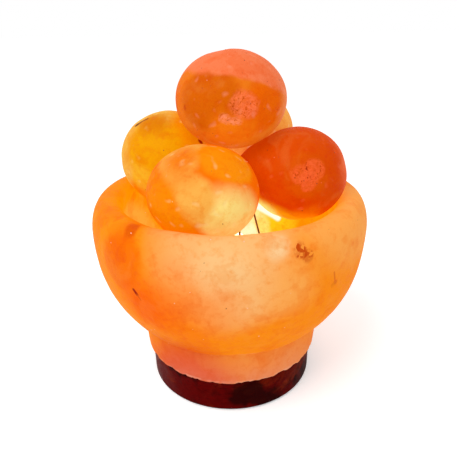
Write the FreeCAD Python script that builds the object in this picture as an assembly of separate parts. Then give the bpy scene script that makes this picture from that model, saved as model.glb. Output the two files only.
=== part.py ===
import FreeCAD, Part
import math
import os

# A salt bowl lamp: a carved salt bowl on a turned wood base, heaped with loose salt balls.
# A small bulb stands in the bowl under a wire guard, in a lampholder that is pushed up
# through the base. Millimetres, +Z up, origin on the surface below the middle of the lamp.
# The front, where the opening between the balls is, faces -Y, and the cord leaves at +Y.

# Wood base and what is under it
base_top_radius = 52.7
base_bottom_radius = 52.3
base_thickness = 21.6
base_bottom_round = 2.0
base_top_round = 1.0
base_hole_radius = 19.0
recess_radius = 26.0
recess_depth = 10.1
cord_groove_width = 8.0
cord_groove_depth = 8.6
pad_count = 3
pad_radius = 7.0
pad_height = 1.5
pad_pocket_depth = 1.1
pad_pocket_room = 0.2
pad_circle_radius = 40.0
pad_first_angle = 60.0

# Screws and plugs that hold the salt on the wood
screw_count = 3
screw_circle_radius = 38.0
screw_radius = 1.9
screw_head_radius = 3.8
screw_head_height = 2.4
screw_recess_width = 1.0
screw_recess_share = 0.6
screw_sink = 0.8
screw_clearance = 0.3
plug_radius = 3.4
plug_length = 19.0
plug_tip = 2.5
plug_fit = 0.05

# Salt bowl
bowl_radius = 82.5
bowl_belly_height = 84.5
bowl_rim_height = 102.8
rim_outer_reach = 10.7
rim_inner_round = 8.0
foot_bottom_radius = 55.0
foot_top_radius = 55.8
foot_height = 23.0
foot_edge_break = 0.9
foot_step = 2.6
foot_step_height = 0.3
foot_bulge = 0.02
bowl_side_flare = 17.8
bowl_side_draw = 33.4
rim_fullness = 0.62
cavity_floor_radius = 40.0
cavity_floor_round = 9.0
cavity_floor_height = 26.0
cavity_bulge = 0.115
bowl_hole_radius = 20.0

# Salt balls: width, height, how far in from the rim's crest, and the way they lie
ball_gap = 0.3
ball_right_width = 57.4
ball_right_height = 53.9
ball_right_inset = 31.3
ball_right_heading = -10.7
ball_front_width = 60.1
ball_front_height = 52.2
ball_front_inset = 33.1
ball_front_heading = -110.7
ball_left_width = 59.4
ball_left_height = 58.2
ball_left_inset = 30.3
ball_left_heading = 152.8
ball_rear_width = 59.5
ball_rear_height = 59.4
ball_rear_inset = 21.3
ball_rear_heading = 73.6
ball_top_width = 62.1
ball_top_height = 54.0
ball_top_offset = 3.4
ball_top_heading = -51.9

# Wire guard over the bulb
guard_wire = 1.2
guard_ring_wire = 1.6
guard_base_radius = 31.5
guard_crown_radius = 14.5
guard_height = 66.0
guard_bend_radius = 8.0
guard_mid_height = 27.0
guard_heading = -70.0
seat_gap = 0.3

# Lampholder
cord_room = 8.6
holder_radius = 12.4
holder_height = 45.0
holder_lip_radius = 8.1
holder_lip_height = 4.0
holder_wall = 3.2
holder_edge_break = 1.0
cap_edge_break = 1.5
cap_height = 13.0
cap_floor = 5.0
cap_ledge_height = 8.0
cap_ledge_radius = 8.0
cap_bore = 10.4
skirt_clearance = 0.1
cord_entry_radius = 3.6
core_height = 20.0
core_clearance = 0.1
terminal_offset = 5.0
terminal_screw_radius = 1.5
terminal_head_radius = 2.5
terminal_head_height = 1.8
terminal_pocket_radius = 3.0
terminal_pocket_depth = 4.5
terminal_foot_height = 7.0
strip_thickness = 0.6
strip_width = 4.0
strip_clearance = 0.1
contact_rise = 1.6

# Screw thread of the bulb and the shell that takes it
thread_pitch = 2.82
thread_turns = 4
shell_bore_radius = 7.05
shell_wall = 0.35
thread_depth = 0.45
shell_margin = 0.9

# Clips that hold the lampholder in the base
collar_wall = 0.6
collar_bottom = 18.0
collar_height = 6.0
collar_fit = 0.05
clip_wire = 1.4
clip_pivot_reach = 2.3
clip_leg_spacing = 10.0
clip_waist_drop = 14.0
clip_tail_drop = 20.5
clip_tail_turn_in = 0.45
clip_bend_radius = 1.5
clip_end_length = 3.6
ear_thickness = 0.8
ear_offset = 2.0
ear_margin = 1.5
ear_height = 4.0
pivot_clearance = 0.08

# Bulb
cap_thread_clearance = 0.10
cap_wall = 0.3
bulb_contact_radius = 2.6
bulb_contact_height = 1.6
insulator_height = 2.2
bulb_neck_radius = 6.15
bulb_radius = 14.0
bulb_glass_wall = 0.7
neck_insert = 4.0
bulb_glass_height = 46.0
stem_radius = 3.0
stem_height = 13.0
stem_flare_edge = 1.0
neck_straight = 5.0
pinch_height = 6.0
pinch_width = 6.0
pinch_thickness = 2.4
lead_radius = 0.3
lead_offset = 1.6
lead_turn_room = 2.5
lead_straight = 1.0
insulator_step = 1.0
filament_radius = 0.25
filament_reach = 5.5
filament_height = 32.0
filament_dip = 2.2
wire_hole_clearance = 0.05

# How far a cutting shape runs past the face that it opens, and the handle length that
# makes a cubic curve a quarter of an ellipse
overcut = 1.0
quarter_handle = 0.5523

# Heights that follow from the sizes above
base_bottom = pad_height - pad_pocket_depth
base_top = base_bottom + base_thickness
recess_top = base_bottom + recess_depth
floor_z = base_top + cavity_floor_height
rim_z = base_top + bowl_rim_height
belly_z = base_top + bowl_belly_height
foot_top_z = base_top + foot_height
rim_crest_radius = bowl_radius - rim_outer_reach
holder_bottom = base_bottom + cord_room
holder_top = holder_bottom + holder_height
core_bottom = holder_bottom + cap_ledge_height
core_top = core_bottom + core_height
core_radius = holder_radius - holder_wall - core_clearance
pivot_z = holder_bottom + collar_bottom + collar_height / 2
pivot_x = holder_radius + clip_pivot_reach
contact_bottom = core_top + strip_thickness + contact_rise + seat_gap
cap_bottom = contact_bottom + bulb_contact_height + insulator_height - strip_thickness
cap_crest_radius = shell_bore_radius - cap_thread_clearance
cap_top = cap_bottom + thread_turns * thread_pitch
glass_bottom = cap_top - neck_insert


# Small shapes

def vec(x, y, z):
    return FreeCAD.Vector(x, y, z)


def line(a, b):
    return Part.LineSegment(vec(a[0], 0, a[1]), vec(b[0], 0, b[1])).toShape()


def arc(a, middle, b):
    points = [vec(p[0], 0, p[1]) for p in (a, middle, b)]
    return Part.Arc(*points).toShape()


def corner(centre, start, end, quarter):
    """A quarter round whose middle lies on the given diagonal from its centre."""
    reach = math.hypot(start[0] - centre[0], start[1] - centre[1]) / math.sqrt(2)
    return arc(start, (centre[0] + quarter[0] * reach, centre[1] + quarter[1] * reach), end)


def curve(a, leaving, arriving, b):
    """A smooth curve from a to b that heads for one handle and comes in from the other."""
    bezier = Part.BezierCurve()
    bezier.setPoles([vec(p[0], 0, p[1]) for p in (a, leaving, arriving, b)])
    return bezier.toShape()


def turned(edges):
    """The solid that a closed outline of (radius, height) edges turns about the Z axis."""
    skin = Part.Face(Part.Wire(edges)).revolve(vec(0, 0, 0), vec(0, 0, 1), 360)
    return Part.makeSolid(skin.Shells[0])


def turned_points(points):
    return turned([line(a, b) for a, b in zip(points, points[1:] + points[:1])])


def disc(radius, bottom, top, x=0.0, y=0.0):
    return Part.makeCylinder(radius, top - bottom, vec(x, y, bottom))


def tube(inner, outer, bottom, top):
    return disc(outer, bottom, top).cut(disc(inner, bottom - overcut, top + overcut))


def block(low, high):
    size = [b - a for a, b in zip(low, high)]
    return Part.makeBox(*size, vec(*low))


def around(count, radius, first_angle):
    angles = [math.radians(first_angle + 360.0 * i / count) for i in range(count)]
    return [(radius * math.cos(a), radius * math.sin(a)) for a in angles]


def rounded_path(points, radius):
    """Straight runs between the points, joined by tangent arcs of one radius."""
    corners = [vec(*p) for p in points]
    edges, start = [], corners[0]
    for before, here, after in zip(corners, corners[1:], corners[2:]):
        back, ahead = (before - here).normalize(), (after - here).normalize()
        half = back.getAngle(ahead) / 2
        reach = radius / math.tan(half)
        inward = (back + ahead).normalize()
        middle = here + inward * (radius / math.sin(half) - radius)
        first, last = here + back * reach, here + ahead * reach
        edges += [Part.LineSegment(start, first).toShape(), Part.Arc(first, middle, last).toShape()]
        start = last
    return edges + [Part.LineSegment(start, corners[-1]).toShape()]


def bent_wire(points, wire_radius, bend_radius):
    edges = rounded_path(points, bend_radius)
    start = edges[0].Vertexes[0].Point
    ring = Part.makeCircle(wire_radius, start, edges[0].tangentAt(edges[0].FirstParameter))
    return Part.Wire(edges).makePipeShell([Part.Wire([ring])], True, False)


def torus(ring_radius, wire_radius, height):
    return Part.makeTorus(ring_radius, wire_radius, vec(0, 0, height))


# Base

def base_outline():
    low, high = base_bottom, base_top
    r_low, r_high, r_b, r_t = base_bottom_radius, base_top_radius, base_bottom_round, base_top_round
    return [
        line((recess_radius, low), (r_low - r_b, low)),
        corner((r_low - r_b, low + r_b), (r_low - r_b, low), (r_low, low + r_b), (1, -1)),
        line((r_low, low + r_b), (r_high, high - r_t)),
        corner((r_high - r_t, high - r_t), (r_high, high - r_t), (r_high - r_t, high), (1, 1)),
        line((r_high - r_t, high), (base_hole_radius, high)),
        line((base_hole_radius, high), (base_hole_radius, recess_top)),
        line((base_hole_radius, recess_top), (recess_radius, recess_top)),
        line((recess_radius, recess_top), (recess_radius, low)),
    ]


def cord_groove():
    half, top = cord_groove_width / 2, base_bottom + cord_groove_depth
    reach = base_top_radius + overcut
    slot = block((-half, 0, base_bottom - overcut), (half, reach, top - half))
    crown = Part.makeCylinder(half, reach, vec(0, 0, top - half), vec(0, 1, 0))
    return slot.fuse(crown)


def wood_base():
    shape = turned(base_outline()).cut(cord_groove())
    head_room = screw_head_radius + screw_clearance
    shank_room = screw_radius + screw_clearance
    shoulder = base_bottom + screw_sink + screw_head_height
    for x, y in around(screw_count, screw_circle_radius, 0):
        head = disc(head_room, base_bottom - overcut, shoulder, x, y)
        shank = disc(shank_room, base_bottom, base_top + overcut, x, y)
        shape = shape.cut(head).cut(shank)
    for x, y in around(pad_count, pad_circle_radius, pad_first_angle):
        pocket = disc(pad_radius + pad_pocket_room, base_bottom - overcut, pad_height, x, y)
        shape = shape.cut(pocket)
    return shape


def foot_pad(x, y):
    edge = pad_height / 5
    pad = disc(pad_radius, 0, pad_height, x, y)
    return pad.makeChamfer(edge, [e for e in pad.Edges if e.BoundBox.ZMax < edge])


def base_screw(x, y):
    bottom = base_bottom + screw_sink
    shoulder = bottom + screw_head_height
    tip = base_top + plug_length - plug_tip
    point = 2 * screw_radius
    head = disc(screw_head_radius, bottom, shoulder, x, y)
    rim = [e for e in head.Edges if e.BoundBox.ZMax < shoulder - screw_head_height / 2]
    head = head.makeFillet(screw_head_height / 4, rim)
    shank = disc(screw_radius, shoulder, tip - point, x, y)
    end = Part.makeCone(screw_radius, screw_radius / 4, point, vec(x, y, tip - point))
    half, arm = screw_recess_width / 2, screw_head_radius * screw_recess_share
    low, deep = bottom - overcut, bottom + screw_head_height / 2
    cross = block((x - half, y - arm, low), (x + half, y + arm, deep))
    cross = cross.fuse(block((x - arm, y - half, low), (x + arm, y + half, deep)))
    return head.fuse([shank, end]).removeSplitter().cut(cross)


def salt_plug(x, y):
    body = disc(plug_radius, base_top, base_top + plug_length, x, y)
    bore_end = base_top + plug_length - plug_tip + plug_fit
    bore = disc(screw_radius + plug_fit, base_top - overcut, bore_end, x, y)
    return body.cut(bore)


# Salt

def bowl_outline():
    """Foot, belly and rim outside, then the cavity down to its floor and the hole."""
    foot_start = (foot_bottom_radius - foot_edge_break, base_top)
    foot_edge = (foot_bottom_radius, base_top + foot_edge_break)
    foot_top = (foot_top_radius, foot_top_z)
    bowl_start = (foot_top_radius + foot_step, foot_top_z + foot_step_height)
    slant = bowl_side_flare / math.sqrt(2)
    flare = (bowl_start[0] + slant, bowl_start[1] + slant)
    belly = (bowl_radius, belly_z)
    crest = (rim_crest_radius, rim_z)
    rim_centre = (rim_crest_radius, rim_z - rim_inner_round)
    inner_edge = (rim_crest_radius - rim_inner_round, rim_z - rim_inner_round)
    corner_centre = (cavity_floor_radius, floor_z + cavity_floor_round)
    diagonal = cavity_floor_round / math.sqrt(2)
    wall_foot = (corner_centre[0] + diagonal, corner_centre[1] - diagonal)
    floor_edge = (cavity_floor_radius, floor_z)
    half_way = math.radians((45 + 90) / 2)
    corner_middle = (corner_centre[0] + cavity_floor_round * math.cos(half_way),
                     corner_centre[1] - cavity_floor_round * math.sin(half_way))
    return [
        line((bowl_hole_radius, base_top), foot_start),
        line(foot_start, foot_edge),
        arc(foot_edge, bulged(foot_edge, foot_top, foot_bulge), foot_top),
        line(foot_top, bowl_start),
        curve(bowl_start, flare, (bowl_radius, belly_z - bowl_side_draw), belly),
        curve(belly, (bowl_radius, belly_z + rim_fullness * (rim_z - belly_z)),
              (rim_crest_radius + rim_fullness * rim_outer_reach, rim_z), crest),
        corner(rim_centre, crest, inner_edge, (-1, 1)),
        arc(inner_edge, bulged(wall_foot, inner_edge, cavity_bulge), wall_foot),
        arc(wall_foot, corner_middle, floor_edge),
        line(floor_edge, (bowl_hole_radius, floor_z)),
        line((bowl_hole_radius, floor_z), (bowl_hole_radius, base_top)),
    ]


def bulged(a, b, share):
    """The middle of an arc from a to b that stands out to its right by a share of its length."""
    across, up = b[0] - a[0], b[1] - a[1]
    return ((a[0] + b[0]) / 2 + up * share, (a[1] + b[1]) / 2 - across * share)


def salt_bowl():
    shape = turned(bowl_outline())
    for x, y in around(screw_count, screw_circle_radius, 0):
        hole_top = base_top + plug_length + plug_fit
        hole = disc(plug_radius + plug_fit, base_top - overcut, hole_top, x, y)
        shape = shape.cut(hole)
    return shape


def half_extent(ball, angle):
    """How far a ball stands out from its centre, measured along a line at this angle."""
    return math.hypot(ball["width"] / 2 * math.cos(angle), ball["height"] / 2 * math.sin(angle))


def rest_above(ball, reach_sideways, other_extent):
    """The least height of the ball's centre over a support's, with ball_gap left between."""
    heights = []
    for step in range(1, 181):
        angle = math.pi / 2 * step / 180
        need = ball_gap + half_extent(ball, angle) + other_extent(angle)
        heights.append((need - reach_sideways * math.cos(angle)) / math.sin(angle))
    return min(heights)


def rest_height(ball, placed):
    """The height at which a ball, lowered in its place, meets the rim or another ball."""
    rim_centre_z = rim_z - rim_inner_round
    inside = rim_crest_radius - math.hypot(ball["x"], ball["y"])
    heights = [rim_centre_z + rest_above(ball, inside, lambda angle: rim_inner_round)]
    for other in placed:
        sideways = math.hypot(ball["x"] - other["x"], ball["y"] - other["y"])
        if sideways < (ball["width"] + other["width"]) / 2 + ball_gap:
            up = rest_above(ball, sideways, lambda angle: half_extent(other, angle))
            heights.append(other["z"] + up)
    return max(heights)


def heap_of_balls():
    """Every ball with its place: the ring of four, then the one on top of them."""
    ring = [
        ("ball_right", ball_right_width, ball_right_height, ball_right_inset, ball_right_heading),
        ("ball_front", ball_front_width, ball_front_height, ball_front_inset, ball_front_heading),
        ("ball_left", ball_left_width, ball_left_height, ball_left_inset, ball_left_heading),
        ("ball_rear", ball_rear_width, ball_rear_height, ball_rear_inset, ball_rear_heading),
    ]
    spots = [(name, width, height, rim_crest_radius - inset, heading)
             for name, width, height, inset, heading in ring]
    spots.append(("ball_top", ball_top_width, ball_top_height, ball_top_offset, ball_top_heading))
    placed = []
    for name, width, height, reach, heading in spots:
        angle = math.radians(heading)
        ball = {"name": name, "width": width, "height": height,
                "x": reach * math.cos(angle), "y": reach * math.sin(angle)}
        ball["z"] = rest_height(ball, placed)
        placed.append(ball)
    return placed


def salt_ball(ball):
    """A ground ball, a little flat or tall, turned from two quarters of its outline."""
    wide, high = ball["width"] / 2, ball["height"] / 2
    bend_w, bend_h = wide * quarter_handle, high * quarter_handle
    solid = turned([
        curve((0, -high), (bend_w, -high), (wide, -bend_h), (wide, 0)),
        curve((wide, 0), (wide, bend_h), (bend_w, high), (0, high)),
        line((0, high), (0, -high)),
    ])
    solid.translate(vec(ball["x"], ball["y"], ball["z"]))
    return solid


# Wire guard

def guard_leg_radius(height):
    """The distance of a leg's middle line from the axis, at a height over the bowl's floor."""
    share = height / guard_height
    return guard_base_radius + (guard_crown_radius - guard_base_radius) * share


def guard_ring(height):
    """A ring outside the legs, which are welded to its inner side."""
    lean = math.atan2(guard_base_radius - guard_crown_radius, guard_height)
    reach = (guard_wire + guard_ring_wire) / 2 / math.cos(lean)
    return torus(guard_leg_radius(height) + reach, guard_ring_wire / 2, floor_z + height)


def guard_hoop(heading, crown_drop):
    angle = math.radians(heading)
    foot = seat_gap + guard_ring_wire / 2
    crown = guard_height - crown_drop

    def point(side, height):
        reach = side * guard_leg_radius(height)
        return (reach * math.cos(angle), reach * math.sin(angle), floor_z + height)

    path = [point(1, foot), point(1, crown), point(-1, crown), point(-1, foot)]
    return bent_wire(path, guard_wire / 2, guard_bend_radius)


# Lampholder

def holder_sleeve():
    inside = holder_radius - holder_wall
    skirt = cap_bore - skirt_clearance
    seam = holder_bottom + cap_height
    lip = holder_top - holder_lip_height
    return turned_points([
        (inside, core_bottom), (skirt, core_bottom), (skirt, seam), (holder_radius, seam),
        (holder_radius, holder_top - holder_edge_break),
        (holder_radius - holder_edge_break, holder_top),
        (holder_lip_radius, holder_top), (holder_lip_radius, lip), (inside, lip),
    ])


def holder_cap():
    bottom, seam = holder_bottom, holder_bottom + cap_height
    floor = bottom + cap_floor
    return turned_points([
        (cord_entry_radius, bottom), (holder_radius - cap_edge_break, bottom),
        (holder_radius, bottom + cap_edge_break), (holder_radius, seam),
        (cap_bore, seam), (cap_bore, core_bottom), (cap_ledge_radius, core_bottom),
        (cap_ledge_radius, floor), (cord_entry_radius, floor),
    ])


def strip_slot(side):
    """The slot in the core for one contact strip, open at the top."""
    near = terminal_offset - strip_thickness / 2 - strip_clearance
    far = terminal_offset + strip_thickness / 2 + strip_clearance
    half = strip_width / 2 + strip_clearance
    x_low, x_high = sorted((side * near, side * far))
    low, high = core_bottom + terminal_foot_height, core_top + overcut
    return block((x_low, -half, low), (x_high, half, high))


def holder_core():
    shape = disc(core_radius, core_bottom, core_top)
    for side in (1, -1):
        x = side * terminal_offset
        pocket_top = core_bottom + terminal_pocket_depth
        pocket = disc(terminal_pocket_radius, core_bottom - overcut, pocket_top, x)
        bore_top = core_bottom + terminal_foot_height + strip_clearance
        bore = disc(terminal_screw_radius + strip_clearance, core_bottom, bore_top, x)
        shape = shape.cut(pocket).cut(bore).cut(strip_slot(side))
    half = strip_width / 2 + strip_clearance
    groove = block((-core_radius - overcut, -half, core_top - strip_thickness),
                   (-terminal_offset, half, core_top + overcut))
    return shape.cut(groove)


def extruded_strip(outline):
    """A flat outline of (x, z) points, one strip wide along Y."""
    points = [vec(x, -strip_width / 2, z) for x, z in outline]
    face = Part.Face(Part.makePolygon(points + points[:1]))
    return face.extrude(vec(0, strip_width, 0))


def centre_contact():
    """A spring tongue under the bulb's tip, with its leg down to the first terminal."""
    inner, outer = terminal_offset - strip_thickness / 2, terminal_offset + strip_thickness / 2
    foot, top = core_bottom + terminal_foot_height, core_top + strip_thickness
    tip_x = -bulb_contact_radius / 2
    return extruded_strip([
        (inner, foot), (outer, foot), (outer, top), (inner, top), (0, top + contact_rise),
        (tip_x, top + contact_rise), (tip_x, top + contact_rise - strip_thickness),
        (0, top + contact_rise - strip_thickness), (inner, core_top),
    ])


def side_contact():
    """A strip from the second terminal to the underside of the screw shell."""
    inner, outer = terminal_offset - strip_thickness / 2, terminal_offset + strip_thickness / 2
    foot, end = core_bottom + terminal_foot_height, shell_bore_radius + shell_wall
    under = core_top - strip_thickness
    return extruded_strip([
        (-inner, foot), (-inner, core_top), (-end, core_top),
        (-end, under), (-outer, under), (-outer, foot),
    ])


def terminal_screw(side):
    x = side * terminal_offset
    top = core_bottom + terminal_foot_height
    head_bottom = core_bottom + terminal_pocket_depth - terminal_head_height
    head_top = core_bottom + terminal_pocket_depth
    head = disc(terminal_head_radius, head_bottom, head_top, x)
    shank = disc(terminal_screw_radius, head_top, top, x)
    half, deep = screw_recess_width / 2, head_bottom + terminal_head_height / 2
    slot = block((x - terminal_head_radius, -half, head_bottom - overcut),
                 (x + terminal_head_radius, half, deep))
    return head.fuse(shank).removeSplitter().cut(slot)


def thread_waves(root, crest, bottom):
    """The rounded side of a thread, one wave a turn, from its bottom to its top."""
    edges = []
    quarter = thread_pitch / 4
    for turn in range(thread_turns):
        low = bottom + turn * thread_pitch
        half_way, high = low + 2 * quarter, low + 4 * quarter
        middle = (root + crest) / 2
        edges.append(arc((middle, low), (crest, low + quarter), (middle, half_way)))
        edges.append(arc((middle, half_way), (root, high - quarter), (middle, high)))
    return edges


def rolled_shell(inner_root, inner_crest, wall, bottom):
    """A thin threaded tube, rolled to the same wave inside and out."""
    top = bottom + thread_turns * thread_pitch
    inner = thread_waves(inner_root, inner_crest, bottom)
    outer = thread_waves(inner_root + wall, inner_crest + wall, bottom)
    r = (inner_root + inner_crest) / 2
    top_edge, bottom_edge = line((r, top), (r + wall, top)), line((r + wall, bottom), (r, bottom))
    return turned(inner + [top_edge] + outer[::-1] + [bottom_edge])


def screw_shell():
    """The threaded shell on the core, plain for a margin below and above its thread."""
    bottom = core_top
    middle = shell_bore_radius + thread_depth / 2
    low = bottom + shell_margin
    high = low + thread_turns * thread_pitch
    thread = rolled_shell(shell_bore_radius, shell_bore_radius + thread_depth, shell_wall, low)
    collar = tube(middle, middle + shell_wall, bottom, low)
    lip = tube(middle, middle + shell_wall, high, high + shell_margin)
    return thread.fuse([collar, lip]).removeSplitter()


# Clips

def ear(side, end):
    """A lug of the collar that carries one end of a clip."""
    near = end * (clip_leg_spacing / 2 + ear_offset)
    far = near + end * ear_thickness
    y_low, y_high = sorted((near, far))
    inner = math.sqrt((holder_radius + collar_fit) ** 2 - near ** 2) + collar_fit
    outer = pivot_x + clip_wire / 2 + ear_margin
    x_low, x_high = sorted((side * inner, side * outer))
    half = ear_height / 2
    plate = block((x_low, y_low, pivot_z - half), (x_high, y_high, pivot_z + half))
    hole = Part.makeCylinder(clip_wire / 2 + pivot_clearance, ear_thickness + 2 * overcut,
                             vec(side * pivot_x, y_low - overcut, pivot_z), vec(0, 1, 0))
    return plate.cut(hole)


def clip_collar():
    bottom = holder_bottom + collar_bottom
    inner = holder_radius + collar_fit
    band = tube(inner, inner + collar_wall, bottom, bottom + collar_height)
    return band.fuse([ear(side, end) for side in (1, -1) for end in (1, -1)]).removeSplitter()


def clip(side):
    """One bent spring wire: two legs from the pivot down to a bar that is squeezed."""
    half = clip_leg_spacing / 2
    end = half + clip_end_length
    reach = base_hole_radius - seat_gap - clip_wire / 2
    waist_x = math.sqrt(reach ** 2 - half ** 2)
    waist_z, tail_z = pivot_z - clip_waist_drop, pivot_z - clip_tail_drop
    tail_x = waist_x - clip_tail_turn_in
    leg = [(pivot_x, pivot_z), (waist_x, waist_z), (tail_x, tail_z)]
    path = [(side * pivot_x, -end, pivot_z)]
    path += [(side * x, -half, z) for x, z in leg]
    path += [(side * x, half, z) for x, z in reversed(leg)]
    path += [(side * pivot_x, end, pivot_z)]
    return bent_wire(path, clip_wire / 2, clip_bend_radius)


# Bulb

def cap_contact():
    """The solder tip in the middle of the bulb's cap."""
    bottom, top = contact_bottom, contact_bottom + bulb_contact_height
    r, soft = bulb_contact_radius, bulb_contact_height / 2
    return turned([
        line((0, bottom), (r - soft, bottom)),
        corner((r - soft, bottom + soft), (r - soft, bottom), (r, bottom + soft), (1, -1)),
        line((r, bottom + soft), (r, top)), line((r, top), (0, top)), line((0, top), (0, bottom)),
    ])


def cap_inner_radius():
    return cap_crest_radius - thread_depth - cap_wall


def cap_insulator():
    """The black glass cone between the tip and the cap, with a hole for one lead."""
    low, high = contact_bottom + bulb_contact_height / 2, cap_bottom + strip_thickness
    top = contact_bottom + bulb_contact_height
    hole, edge = lead_radius + wire_hole_clearance, cap_inner_radius() - wire_hole_clearance
    return turned_points([
        (bulb_contact_radius, low), (bulb_contact_radius + insulator_step, low), (edge, cap_bottom),
        (edge, high), (hole, high), (hole, top), (bulb_contact_radius, top),
    ])


def bulb_cap():
    return rolled_shell(cap_crest_radius - thread_depth - cap_wall, cap_crest_radius - cap_wall,
                        cap_wall, cap_bottom)


def glass_side(shrink):
    """One face of the glass, from the neck up to the top of the axis."""
    neck, belly = bulb_neck_radius - shrink, bulb_radius - shrink
    low, high = glass_bottom + neck_straight, glass_bottom + bulb_glass_height - bulb_radius
    middle = ((neck + belly) / 2, (low + high) / 2)
    bend = ((belly - neck) ** 2 + (high - low) ** 2) / (4 * (belly - neck))
    turn = math.asin((high - low) / (2 * bend)) / 2
    side, rise = bend * (1 - math.cos(turn)), bend * math.sin(turn)
    top = (0, high + belly)
    return [
        line((neck, glass_bottom), (neck, low)),
        arc((neck, low), (neck + side, low + rise), middle),
        arc(middle, (belly - side, high - rise), (belly, high)),
        corner((0, high), (belly, high), top, (1, 1)),
    ]


def bulb_glass():
    outer, inner = glass_side(0), glass_side(bulb_glass_wall)
    high = glass_bottom + bulb_glass_height
    seam = line((0, high), (0, high - bulb_glass_wall))
    rim = line((bulb_neck_radius - bulb_glass_wall, glass_bottom), (bulb_neck_radius, glass_bottom))
    return turned(outer + [seam] + inner[::-1] + [rim])


def bulb_stem():
    """The flare sealed in the neck, its tube and the pinch that grips the leads."""
    flare = bulb_neck_radius - bulb_glass_wall
    low, shoulder = glass_bottom, glass_bottom + stem_height - pinch_height
    body = turned_points([
        (0, low), (flare, low), (flare, low + stem_flare_edge), (stem_radius, low + stem_radius),
        (stem_radius, shoulder), (0, shoulder),
    ])
    half_w, half_t, top = pinch_width / 2, pinch_thickness / 2, glass_bottom + stem_height
    pinch = block((-half_w, -half_t, shoulder - pinch_thickness), (half_w, half_t, top))
    shape = body.fuse(pinch).removeSplitter()
    hole_radius = lead_radius + wire_hole_clearance
    for side in (1, -1):
        shape = shape.cut(disc(hole_radius, low - overcut, top + overcut, side * lead_offset))
    return shape


def lead_wire(side):
    """A lead from the tip or from the side of the cap, through the stem to the filament."""
    stem_top = glass_bottom + stem_height
    tip_top = contact_bottom + bulb_contact_height + wire_hole_clearance
    turn = glass_bottom - lead_turn_room - lead_straight
    if side > 0:
        start = [(0, 0, tip_top), (0, 0, turn)]
    else:
        start = [(-cap_inner_radius() + lead_radius, 0, turn)]
    path = start + [
        (side * lead_offset, 0, glass_bottom - lead_straight),
        (side * lead_offset, 0, stem_top + lead_straight),
        (side * filament_reach, 0, glass_bottom + filament_height),
    ]
    return bent_wire(path, lead_radius, lead_radius * 2)


def filament():
    """The coil between the leads, drawn as one wire with a sag on each side of its support."""
    high = glass_bottom + filament_height + lead_radius + filament_radius
    half = filament_reach / 2
    path = [(-filament_reach, 0, high), (-half, 0, high - filament_dip), (0, 0, high),
            (half, 0, high - filament_dip), (filament_reach, 0, high)]
    return bent_wire(path, filament_radius, filament_radius * 2)


def support_wire():
    top = glass_bottom + filament_height + lead_radius
    start = glass_bottom + stem_height
    return disc(lead_radius, start, top - filament_radius * 2)


# All of it

def all_parts():
    parts = {"wood_base": wood_base(), "salt_bowl": salt_bowl()}
    pads = around(pad_count, pad_circle_radius, pad_first_angle)
    for i, spot in enumerate(pads, 1):
        parts[f"foot_pad_{i}"] = foot_pad(*spot)
    for i, spot in enumerate(around(screw_count, screw_circle_radius, 0), 1):
        parts[f"base_screw_{i}"] = base_screw(*spot)
        parts[f"salt_plug_{i}"] = salt_plug(*spot)
    for ball in heap_of_balls():
        parts[ball["name"]] = salt_ball(ball)
    parts["guard_hoop_1"] = guard_hoop(guard_heading, 0)
    parts["guard_hoop_2"] = guard_hoop(guard_heading + 90, guard_wire)
    parts["guard_ring_base"] = guard_ring(seat_gap + guard_ring_wire / 2)
    parts["guard_ring_mid"] = guard_ring(guard_mid_height)
    parts["holder_sleeve"] = holder_sleeve()
    parts["holder_cap"] = holder_cap()
    parts["holder_core"] = holder_core()
    parts["centre_contact"] = centre_contact()
    parts["side_contact"] = side_contact()
    parts["screw_shell"] = screw_shell()
    parts["clip_collar"] = clip_collar()
    for i, side in enumerate((1, -1), 1):
        parts[f"terminal_screw_{i}"] = terminal_screw(side)
        parts[f"lead_wire_{i}"] = lead_wire(side)
    parts["clip_right"] = clip(1)
    parts["clip_left"] = clip(-1)
    parts["cap_contact"] = cap_contact()
    parts["cap_insulator"] = cap_insulator()
    parts["bulb_cap"] = bulb_cap()
    parts["bulb_glass"] = bulb_glass()
    parts["bulb_stem"] = bulb_stem()
    parts["filament"] = filament()
    parts["support_wire"] = support_wire()
    return parts


os.makedirs("parts", exist_ok=True)
for name, shape in all_parts().items():
    shape.exportStep(f"parts/{name}.step")
    print(f"{name}: {len(shape.Solids)} solid, valid {shape.isValid()}, {shape.Volume:.1f} mm3")
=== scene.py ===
import bpy
import bmesh
import math
import random
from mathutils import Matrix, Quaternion, Vector, noise


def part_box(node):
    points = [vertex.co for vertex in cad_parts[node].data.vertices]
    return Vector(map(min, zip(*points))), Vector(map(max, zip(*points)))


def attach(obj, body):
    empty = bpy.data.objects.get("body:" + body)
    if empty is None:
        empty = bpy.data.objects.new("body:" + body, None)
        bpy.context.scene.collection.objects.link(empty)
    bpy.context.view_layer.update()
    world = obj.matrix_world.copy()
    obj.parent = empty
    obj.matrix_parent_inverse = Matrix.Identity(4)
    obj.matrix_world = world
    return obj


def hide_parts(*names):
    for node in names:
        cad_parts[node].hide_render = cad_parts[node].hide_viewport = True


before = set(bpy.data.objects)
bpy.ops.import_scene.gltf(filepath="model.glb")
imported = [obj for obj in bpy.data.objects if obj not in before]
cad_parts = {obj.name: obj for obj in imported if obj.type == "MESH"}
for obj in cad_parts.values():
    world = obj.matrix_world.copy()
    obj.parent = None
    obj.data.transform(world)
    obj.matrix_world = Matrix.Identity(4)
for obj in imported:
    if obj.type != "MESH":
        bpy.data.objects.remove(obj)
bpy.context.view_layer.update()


# Wood base. A disc of close-grained hardwood turned on a lathe, given a dark red-brown stain and
# lacquered. The stain pools almost black in the open grain, and the lacquer, rubbed by hand,
# gives broad soft lights in place of a mirror. Browner streaks are worn stain with a painted
# sheen of the lacquer laid into them as colour.
wood_stain = "#560000"
wood_pooled = "#1A0000"
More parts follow.
